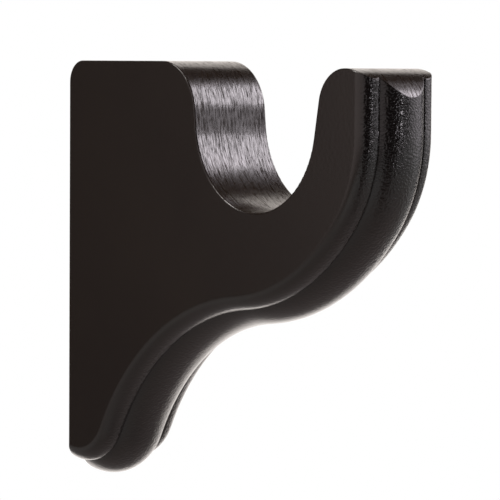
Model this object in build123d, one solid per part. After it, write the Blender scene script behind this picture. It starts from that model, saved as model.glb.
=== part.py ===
from build123d import *
import os
from math import cos, radians, sin, tan

# Sizes in millimetres and degrees, with the mouth of the fixing hole in the wall face as the origin

# Block against the wall
thickness = 26.2
block_top = 42.0            # flat top above the fixing hole
corner_radius = 6.5         # top corner at the wall

# Open cradle
pole_diameter = 50.8
pole_clearance = 1.3        # all round the pole
pole_reach = 88.9           # wall face to the middle of the pole
pole_drop = 15.8            # flat top down to the middle of the pole
block_lean_angle = 5.5      # cradle wall on the block side, out of plumb
arm_lean_angle = 10.4       # cradle wall on the arm side, out of plumb
block_lip_radius = 15.6
arm_lip_radius = 10.7

# Arm tip
tip_drop = 1.7              # flat top down to the top of the arm
tip_flat = 0.3
tip_front_radius = 15.0
tip_lead = 1.9              # front of that radius beyond the bead

# Step line of the moulding, which is the level of its lands, from the arm tip down and back to the wall
# Each angle is the line's own, from plumb, where that arc ends
shoulder_drop = 3.8         # middle of the pole down to the start of the shoulder
shoulder_radius = 40.8
shoulder_angle = 38.0
belly_radius = 67.7
belly_angle = 84.1
arch_angle = 27.7
toe_radius = 18.0
toe_reach = 4.1             # wall face to the lowest point of the toe

# Moulding across the edge, from the cheek to the middle
round_radius = 4.3          # quarter-round along each cheek
land = 0.55                 # flat between the quarter-round and the step
step_depth = 0.5            # step down from the land
fillet_width = 0.3          # flat between the step and the bead
bead_height = 4.9           # crown of the bead above those flats

# Fixing hole for a hanger bolt
hole_radius = 3.0
hole_depth = 32.0
drill_point_angle = 118.0

arris = 0.3                 # sanded edges of the cut top and of the lands

half = thickness / 2
side = half - round_radius - land
bead_side = side - fillet_width
crown = bead_height - step_depth
cradle_radius = pole_diameter / 2 + pole_clearance
pole_z = block_top - pole_drop
tip_top = block_top - tip_drop
moulding_depth = round_radius + step_depth  # from the lands in to the board that carries the moulding
overrun = 12.0              # length by which shapes are run past each other before they are cut
toe_overrun_angle = 60.0    # turn by which the toe is run past its lowest point and through the wall face
near = 0.01                 # slack for picking edges by their place


# Foot of a cradle wall on the cradle's circle, and the point where that wall would meet the top
def cradle_wall(outward, lean_angle, top):
    angle = radians(lean_angle)
    foot_x = pole_reach + outward * cradle_radius * cos(angle)
    foot_z = pole_z - cradle_radius * sin(angle)
    return (foot_x, foot_z), (foot_x + outward * (top - foot_z) * tan(angle), top)


block_foot, block_lip = cradle_wall(-1, block_lean_angle, block_top)
arm_foot, arm_lip = cradle_wall(1, arm_lean_angle, tip_top)
lip_length = arm_lip_radius / tan(radians(90 + arm_lean_angle) / 2)
front_x = arm_lip[0] + lip_length + tip_flat + tip_front_radius
step_reach = front_x - tip_lead - crown


# Distance that an arc of the step line covers towards the wall
def inward(radius, angle_from, angle_to):
    return radius * abs(cos(radians(angle_from)) - cos(radians(angle_to)))


# The arch takes the radius that brings the toe to its place at the wall
arch_reach = step_reach - toe_reach
arch_reach -= inward(shoulder_radius, 0, shoulder_angle)
arch_reach -= inward(belly_radius, shoulder_angle, belly_angle)
arch_reach -= inward(toe_radius, arch_angle, 90)
arch_radius = arch_reach / inward(1, belly_angle, arch_angle)


# Step line, or a line parallel to it and that far inside, from above the arm to behind the wall face
def moulding_line(inside):
    front = step_reach - inside
    arm_front = Line((front, block_top + overrun), (front, pole_z - shoulder_drop))
    shoulder = JernArc(arm_front @ 1, arm_front % 1, shoulder_radius - inside, -shoulder_angle)
    belly = JernArc(shoulder @ 1, shoulder % 1, belly_radius - inside, shoulder_angle - belly_angle)
    arch = JernArc(belly @ 1, belly % 1, arch_radius + inside, belly_angle - arch_angle)
    toe = JernArc(arch @ 1, arch % 1, toe_radius - inside, arch_angle - 90 - toe_overrun_angle)
    return [arm_front, shoulder, belly, arch, toe]


# Section of the moulding from one cheek to the bead, on either side of the middle
def edge_section(hand):
    return [
        Line((hand * half, -moulding_depth), (hand * half, -round_radius)),
        RadiusArc((hand * half, -round_radius), (hand * (half - round_radius), 0), -hand * round_radius),
        Line((hand * (half - round_radius), 0), (hand * (side + arris), 0)),
        RadiusArc((hand * (side + arris), 0), (hand * side, -arris), -hand * arris),
        Polyline((hand * side, -arris), (hand * side, -step_depth), (hand * bead_side, -step_depth)),
    ]


# Moulding swept along the step line
moulding_area = make_face(
    edge_section(-1)
    + [ThreePointArc((-bead_side, -step_depth), (0, crown), (bead_side, -step_depth))]
    + edge_section(1)
    + [Line((half, -moulding_depth), (-half, -moulding_depth))]
)
step_line = moulding_line(0)
step_top = step_line[0] @ 0
across = Plane(origin=(step_top.X, 0, step_top.Y), x_dir=(0, 1, 0), z_dir=(0, 0, -1))
moulding = sweep(across * moulding_area, path=Plane.XZ * Wire(step_line))

# Board inside the moulding
inner_line = moulding_line(moulding_depth)
inner_top = inner_line[0] @ 0
inner_end = inner_line[-1] @ 1
board_area = make_face(inner_line + [Polyline(inner_end, (inner_end.X, inner_top.Y), inner_top)])
board = extrude(Plane.XZ * board_area, half, both=True)

# Trimming outline: wall face, flat top, cradle and arm tip, open below
low_z = step_line[-1].arc_center.Y - toe_radius - crown - overrun
cradle_bottom = (pole_reach, pole_z - cradle_radius)
cradle = ThreePointArc(block_foot, cradle_bottom, arm_foot)
trim_area = make_face(
    [
        Polyline((0, low_z), (0, block_top), block_lip, block_foot),
        cradle,
        Polyline(arm_foot, arm_lip, (front_x, tip_top), (front_x, low_z), (0, low_z)),
    ]
)
for point, radius in (
    ((0, block_top), corner_radius),
    (block_lip, block_lip_radius),
    (arm_lip, arm_lip_radius),
    ((front_x, tip_top), tip_front_radius),
):
    trim_area = fillet(trim_area.vertices().sort_by_distance((point[0], point[1], 0))[0], radius)
trim = extrude(Plane.XZ * trim_area, half, both=True)
trim_edges = trim.edges().filter_by(lambda edge: abs((edge @ 0.5).Y) > half - near)
top_edges = trim_edges.filter_by(
    lambda edge: near < (edge @ 0.5).X < front_x - near and (edge @ 0.5).Z > cradle_bottom[1] - near
)
trim = fillet(top_edges, arris)

# Blind hole in the wall face, ending in the drill's point
point_length = hole_radius / tan(radians(drill_point_angle / 2))
hole = extrude(Plane.YZ * Circle(hole_radius), hole_depth)
hole += Plane.YZ.offset(hole_depth) * Cone(
    hole_radius, 0, point_length, align=(Align.CENTER, Align.CENTER, Align.MIN)
)

bracket = ((board + moulding) & trim) - hole

os.makedirs("parts", exist_ok=True)
export_step(bracket, "parts/bracket.step")
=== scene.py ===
from math import cos, radians, sin

import bpy
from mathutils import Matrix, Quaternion, Vector


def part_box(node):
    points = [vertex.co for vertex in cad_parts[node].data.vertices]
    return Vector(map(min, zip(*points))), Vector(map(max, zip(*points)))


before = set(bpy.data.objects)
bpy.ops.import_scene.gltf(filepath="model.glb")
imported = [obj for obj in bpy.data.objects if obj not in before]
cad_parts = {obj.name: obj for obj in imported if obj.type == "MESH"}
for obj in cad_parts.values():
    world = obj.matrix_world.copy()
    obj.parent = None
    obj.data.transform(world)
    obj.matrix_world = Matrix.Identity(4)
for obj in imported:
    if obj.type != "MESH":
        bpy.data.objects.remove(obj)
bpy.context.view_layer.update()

mm = 0.001
lowCorner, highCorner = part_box("bracket")
middle = (lowCorner + highCorner) / 2


def linearColour(hexColour):  # sRGB hex to linear RGBA
    channels = [int(hexColour[i:i + 2], 16) / 255 for i in (1, 3, 5)]
    return [c / 12.92 if c <= 0.04045 else ((c + 0.055) / 1.055) ** 2.4 for c in channels] + [1.0]


# Settings go to sockets by name or number, else to the node, and a linked node gives its first output
def addNode(tree, kind, settings={}, links={}):
    node = tree.nodes.new(kind)
    for name, value in settings.items():
        if isinstance(name, int) or name in node.inputs:
            node.inputs[name].default_value = value
        else:
            setattr(node, name, value)
    for name, source in links.items():
        tree.links.new(source.outputs[0] if isinstance(source, bpy.types.Node) else source, node.inputs[name])
    return node


# Place at a bearing from +X and a rise, both in degrees, and the turn that looks back at the target
def aimFrom(bearing, rise, distance, target):
    side = Vector((cos(radians(bearing)), sin(radians(bearing)), 0)) * cos(radians(rise))
    away = side + Vector((0, 0, sin(radians(rise))))
    return target + away * distance, (-away).to_track_quat("-Z", "Y")


# Stained hardwood, sanded and sprayed with satin lacquer: near-black brown that looks flat on the planed
# cheeks, with soft reflections that sanding lines break up on the cut top and pores on the moulded front
wood = {
    "stain": "#261e17",
    "stainDeep": "#221a14",
    "stainEndAndShade": "#110a07",        # front of the moulding: darker stain on the end grain, deepened further as painted shade for the dark bands there
    "streakDepth": 0.006 * mm,
    "streakShine": (0.0, 1.2),    # dull between the sanding lines, glossy on them
    "plainShine": 0.5,
    "poreDepth": 0.07 * mm,
    "peelDepth": 0.005 * mm,
    "edgeRadius": 0.5 * mm,       # lacquer built up over the sharp edges
    "edgeSamples": 8,
    "roughness": 0.24,
    "streakRoughness": -0.05,     # added on the cut top
    "ior": 1.5,
    "coat": 0.2,
    "coatRoughness": 0.15,
}

# Noises: size in mm, turn in degrees, detail, roughness, warp, and the span of the noise that is used
woodNoises = {
    "figure": ((45, 3, 45), 0, 4.0, 0.6, 0.0, (0.35, 0.65)),      # growth rings under the stain
    "streak": ((4, 0.44, 4), -6, 4.0, 0.75, 0.8, (0.4, 0.6)),     # sanding lines, drawn coarser than real to show
    "pore": ((1.0, 0.55, 0.55), 0, 0.0, 0.5, 0.0, (0.35, 0.7)),   # open end grain, drawn coarser than real to show
    "peel": ((1.1, 1.1, 1.1), 0, 1.0, 0.5, 0.0, (0.35, 0.65)),    # orange peel of the sprayed lacquer
}

# Faces by the way they look: where each kind starts, where it is full, and how much of it is everywhere
woodFaces = {
    "cut": (0.03, 0.09, 0.0),                         # upward part of the normal, on the top and the cradle
    "edge": (0.95, 0.7, 0.0),                         # sideways part, which ends at the cheeks
    "porous": (0.3, 0.75, 0.25),                      # forward part, where the grain comes out end on
    "upright": (radians(-34), radians(-9), 0.0),      # tilt, on the arm above the shoulder
}


def stainedLacqueredWood():
    material = bpy.data.materials.new("stained_hardwood_satin_lacquer")
    material.use_nodes = True
    tree = material.node_tree
    tree.nodes.clear()
    place = addNode(tree, "ShaderNodeTexCoord").outputs["Object"]

    noises = {}
    for name, (size, turn, detail, fineness, warp, (low, high)) in woodNoises.items():
        scale = [length * mm for length in size]
        stretched = addNode(
            tree, "ShaderNodeMapping",
            {"vector_type": "TEXTURE", "Scale": scale, "Rotation": (0, 0, radians(turn))}, {"Vector": place},
        )
        noise = addNode(
            tree, "ShaderNodeTexNoise",
            {"Scale": 1.0, "Detail": detail, "Roughness": fineness, "Distortion": warp}, {"Vector": stretched},
        )
        noises[name] = addNode(
            tree, "ShaderNodeMapRange", {"From Min": low, "From Max": high}, {"Value": noise.outputs["Fac"]})

    normal = addNode(tree, "ShaderNodeNewGeometry").outputs["Normal"]
    facing = addNode(tree, "ShaderNodeSeparateXYZ", {}, {0: normal}).outputs
    sideways = addNode(tree, "ShaderNodeMath", {"operation": "ABSOLUTE"}, {0: facing["Y"]})
    forward = addNode(tree, "ShaderNodeMath", {"operation": "ABSOLUTE"}, {0: facing["X"]})
    tilt = addNode(tree, "ShaderNodeMath", {"operation": "ARCTAN2"}, {0: facing["Z"], 1: forward})
    faces = {}
    for name, source in (("cut", facing["Z"]), ("edge", sideways), ("porous", forward), ("upright", tilt)):
        start, full, least = woodFaces[name]
        faces[name] = addNode(
            tree, "ShaderNodeMapRange", {"From Min": start, "From Max": full, "To Min": least}, {"Value": source})
    moulded = addNode(
        tree, "ShaderNodeMath", {"operation": "SUBTRACT", "use_clamp": True}, {0: faces["edge"], 1: faces["cut"]})
    porous = addNode(tree, "ShaderNodeMath", {"operation": "MULTIPLY"}, {0: moulded, 1: faces["porous"]})
    front = addNode(tree, "ShaderNodeMath", {"operation": "MULTIPLY"}, {0: moulded, 1: faces["upright"]})

    figure = addNode(tree, "ShaderNodeValToRGB", {}, {"Fac": noises["figure"]})
    for element, stain in zip(figure.color_ramp.elements, ("stainDeep", "stain")):
        element.color = linearColour(wood[stain])
    # painted shade: the upright front of the moulding takes the darker end-grain colour, which also stands in for
    # the shade in its dark bands
    stained = addNode(
        tree, "ShaderNodeMix", {"data_type": "RGBA", 7: linearColour(wood["stainEndAndShade"])}, {0: front, 6: figure})

    # heights in metres, each on the faces that have it
    height = addNode(tree, "ShaderNodeMath", {"operation": "MULTIPLY", 1: wood["peelDepth"]}, {0: noises["peel"]})
    for name, face in (("streak", faces["cut"]), ("pore", porous)):
        depth = addNode(tree, "ShaderNodeMath", {"operation": "MULTIPLY", 1: wood[name + "Depth"]}, {0: face})
        height = addNode(
            tree, "ShaderNodeMath", {"operation": "MULTIPLY_ADD"}, {0: noises[name], 1: depth, 2: height})
    soft = addNode(tree, "ShaderNodeBevel", {"samples": wood["edgeSamples"], "Radius": wood["edgeRadius"]})
    bump = addNode(
        tree, "ShaderNodeBump", {"Strength": 1.0, "Distance": 1.0}, {"Height": height, "Normal": soft})

    haze = addNode(
        tree, "ShaderNodeMath", {"operation": "MULTIPLY_ADD", 1: wood["streakRoughness"], 2: wood["roughness"]},
        {0: faces["cut"]},
    )
    dull, glossy = wood["streakShine"]
    lineShine = addNode(
        tree, "ShaderNodeMapRange", {"To Min": dull, "To Max": glossy}, {"Value": noises["streak"]})
    shine = addNode(
        tree, "ShaderNodeMix", {"data_type": "FLOAT", 2: wood["plainShine"]}, {0: faces["cut"], 3: lineShine})
    shader = addNode(
        tree, "ShaderNodeBsdfPrincipled",
        {"IOR": wood["ior"], "Coat Weight": wood["coat"], "Coat Roughness": wood["coatRoughness"]},
        {
            "Base Color": stained.outputs[2],
            "Roughness": haze,
            "Specular IOR Level": shine,
            "Normal": bump,
            "Coat Normal": bump,
        },
    )
    addNode(tree, "ShaderNodeOutputMaterial", {}, {"Surface": shader})
    return material


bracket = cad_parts["bracket"]
bracket.data.materials.clear()
bracket.data.materials.append(stainedLacqueredWood())
print("bracket finished")


# Matt painted floor well under the bracket, which hangs as on a wall: it takes the soft shadow and runs
# out into the white of the backdrop, for the camera fully and in reflections by its shine
floorSetup = {
    "drop": 1.0,
    "size": 8.0,
    "colour": "#dcd5d2",
    "roughness": 0.9,
    "white": 0.65,                # share of white near the bracket
    "shine": 0.52,                # share of white in reflections, far out
    "run": (0.6, 2.5),            # metres over which it runs out
    "dim": (                      # dim strips: bearing, cosines where it is dim and where lit, share that is left
        (-39, 0.985, 0.95, 0.0),
        (-140, 0.866, 0.77, 0.55),
    ),
}


def paintedFloor():
    foot = Vector((middle.x, 0, lowCorner.z - floorSetup["drop"]))
    bpy.ops.mesh.primitive_plane_add(size=floorSetup["size"], location=foot)
    floor = bpy.context.object
    floor.name = "studio_floor"
    material = bpy.data.materials.new("painted_floor_matt")
    material.use_nodes = True
    tree = material.node_tree
    tree.nodes.clear()
    paint = addNode(
        tree, "ShaderNodeBsdfPrincipled",
        {"Base Color": linearColour(floorSetup["colour"]), "Roughness": floorSetup["roughness"]},
    )
    glow = addNode(tree, "ShaderNodeEmission", {"Strength": 1.0})
    place = addNode(tree, "ShaderNodeTexCoord").outputs["Object"]
    away = addNode(tree, "ShaderNodeVectorMath", {"operation": "LENGTH"}, {0: place}).outputs["Value"]
    near, far = floorSetup["run"]
    white = addNode(
        tree, "ShaderNodeMapRange", {"From Min": near, "From Max": far, "To Min": floorSetup["white"]},
        {"Value": away},
    )
    shine = addNode(
        tree, "ShaderNodeMapRange", {"From Min": near, "From Max": far, "To Max": floorSetup["shine"]},
        {"Value": away},
    )
    outward = addNode(tree, "ShaderNodeVectorMath", {"operation": "NORMALIZE"}, {0: place})
    for bearing, dim, lit, share in floorSetup["dim"]:
        heading = (cos(radians(bearing)), sin(radians(bearing)), 0)
        towards = addNode(tree, "ShaderNodeVectorMath", {"operation": "DOT_PRODUCT", 1: heading}, {0: outward})
        left = addNode(
            tree, "ShaderNodeMapRange", {"From Min": dim, "From Max": lit, "To Min": share},
            {"Value": towards.outputs["Value"]},
        )
        shine = addNode(tree, "ShaderNodeMath", {"operation": "MULTIPLY"}, {0: shine, 1: left})

    rays = addNode(tree, "ShaderNodeLightPath").outputs
    seen = addNode(tree, "ShaderNodeMath", {"operation": "MULTIPLY"}, {0: rays["Is Camera Ray"], 1: white})
    seen = addNode(
        tree, "ShaderNodeMath", {"operation": "MULTIPLY_ADD", "use_clamp": True},
        {0: rays["Is Glossy Ray"], 1: shine, 2: seen},
    )
    mixed = addNode(tree, "ShaderNodeMixShader", {}, {0: seen, 1: paint, 2: glow})
    addNode(tree, "ShaderNodeOutputMaterial", {}, {"Surface": mixed})
    floor.data.materials.append(material)


paintedFloor()
print("floor laid")

# Softboxes round the bracket: bearing, rise and distance, width and height
softboxes = {
    "right_back": {"place": (54, 33, 1.2), "size": (0.9, 0.6), "watts": 7.6, "colour": "#fff7fe"},
    "right_halo": {"place": (61, 24, 1.2), "size": (1.6, 1.25), "watts": 8.5, "colour": "#fff7fe"},
    "back_card": {"place": (142, 2, 0.165), "size": (0.3, 0.38), "watts": 0.46, "colour": "#fff6ef"},
    "front_glint": {"place": (-4, 2, 1.2), "size": (0.08, 0.05), "watts": 0.8, "colour": "#fff7fe"},
    "key": {"place": (-120, 48, 1.2), "size": (0.6, 0.6), "watts": 9.5, "colour": "#fffaf4"},
}
for name, box in softboxes.items():
    lamp = bpy.data.lights.new(name, "AREA")
    lamp.shape = "RECTANGLE"
    lamp.size, lamp.size_y = box["size"]
    lamp.energy = box["watts"]
    lamp.color = linearColour(box["colour"])[:3]
    lampObject = bpy.data.objects.new(name, lamp)
    bpy.context.scene.collection.objects.link(lampObject)
    spot, turn = aimFrom(*box["place"], middle)
    lampObject.location = spot
    lampObject.rotation_euler = turn.to_euler()
    lampObject.visible_camera = False
print("softboxes placed")

# Dim room with two soft-edged pale walls, low down on the right and on the left, and white to the camera
room = {
    "fill": "#2c2c30",
    "toCamera": "#ffffff",
    "walls": {  # cosines across and sines up and down at which each wall fades and is full
        "right": {
            "colour": "#ffffff",
            "bearing": 45, "width": (0.45, 0.95), "foot": (-0.75, -0.3), "top": (0.0, -0.15),
        },
        "left": {
            "colour": "#ddd2d3",
            "bearing": -99.5, "width": (0.765, 0.785), "foot": (-0.25, 0.0), "top": (0.7, 0.3),
        },
    },
}


def studioRoom():
    world = bpy.data.worlds.new("white_backdrop_room")
    world.use_nodes = True
    bpy.context.scene.world = world
    tree = world.node_tree
    tree.nodes.clear()
    look = addNode(tree, "ShaderNodeTexCoord").outputs["Generated"]
    upward = addNode(tree, "ShaderNodeSeparateXYZ", {}, {0: look}).outputs["Z"]
    masks = []
    for wall in room["walls"].values():
        bearing = radians(wall["bearing"])
        heading = (cos(bearing), sin(bearing), 0)
        towards = addNode(tree, "ShaderNodeVectorMath", {"operation": "DOT_PRODUCT", 1: heading}, {0: look})
        mask = None
        for side, source in (("width", towards.outputs["Value"]), ("foot", upward), ("top", upward)):
            fade, full = wall[side]
            part = addNode(
                tree, "ShaderNodeMapRange",
                {"interpolation_type": "SMOOTHSTEP", "From Min": fade, "From Max": full}, {"Value": source},
            )
            if mask:
                part = addNode(tree, "ShaderNodeMath", {"operation": "MULTIPLY"}, {0: mask, 1: part})
            mask = part
        masks.append((mask, wall["colour"]))
    masks.append((addNode(tree, "ShaderNodeLightPath").outputs["Is Camera Ray"], room["toCamera"]))

    seen = None
    for mask, colour in masks:
        mix = addNode(
            tree, "ShaderNodeMix",
            {"data_type": "RGBA", 6: linearColour(room["fill"]), 7: linearColour(colour)}, {0: mask},
        )
        if seen:
            tree.links.new(seen, mix.inputs[6])
        seen = mix.outputs[2]
    sky = addNode(tree, "ShaderNodeBackground", {"Strength": 1.0}, {"Color": seen})
    addNode(tree, "ShaderNodeOutputWorld", {}, {"Surface": sky})


studioRoom()
print("room set")

# Camera at the photograph's viewing angle
view = {
    "target": (71.495 * mm, 0, -12.171 * mm),
    "bearing": -38.771,
    "rise": 3.629,
    "roll": 0.398,
    "distance": 844.53 * mm,
    "lens": 211.28,
    "sensor": 36,
}
camera = bpy.data.cameras.new("camera")
camera.lens = view["lens"]
camera.sensor_width = view["sensor"]
cameraObject = bpy.data.objects.new("camera", camera)
bpy.context.scene.collection.objects.link(cameraObject)
spot, turn = aimFrom(view["bearing"], view["rise"], view["distance"], Vector(view["target"]))
cameraObject.location = spot
cameraObject.rotation_euler = (turn @ Quaternion((0, 0, 1), radians(view["roll"]))).to_euler()
bpy.context.scene.camera = cameraObject
bpy.context.scene.view_settings.view_transform = "Standard"
print("camera set")
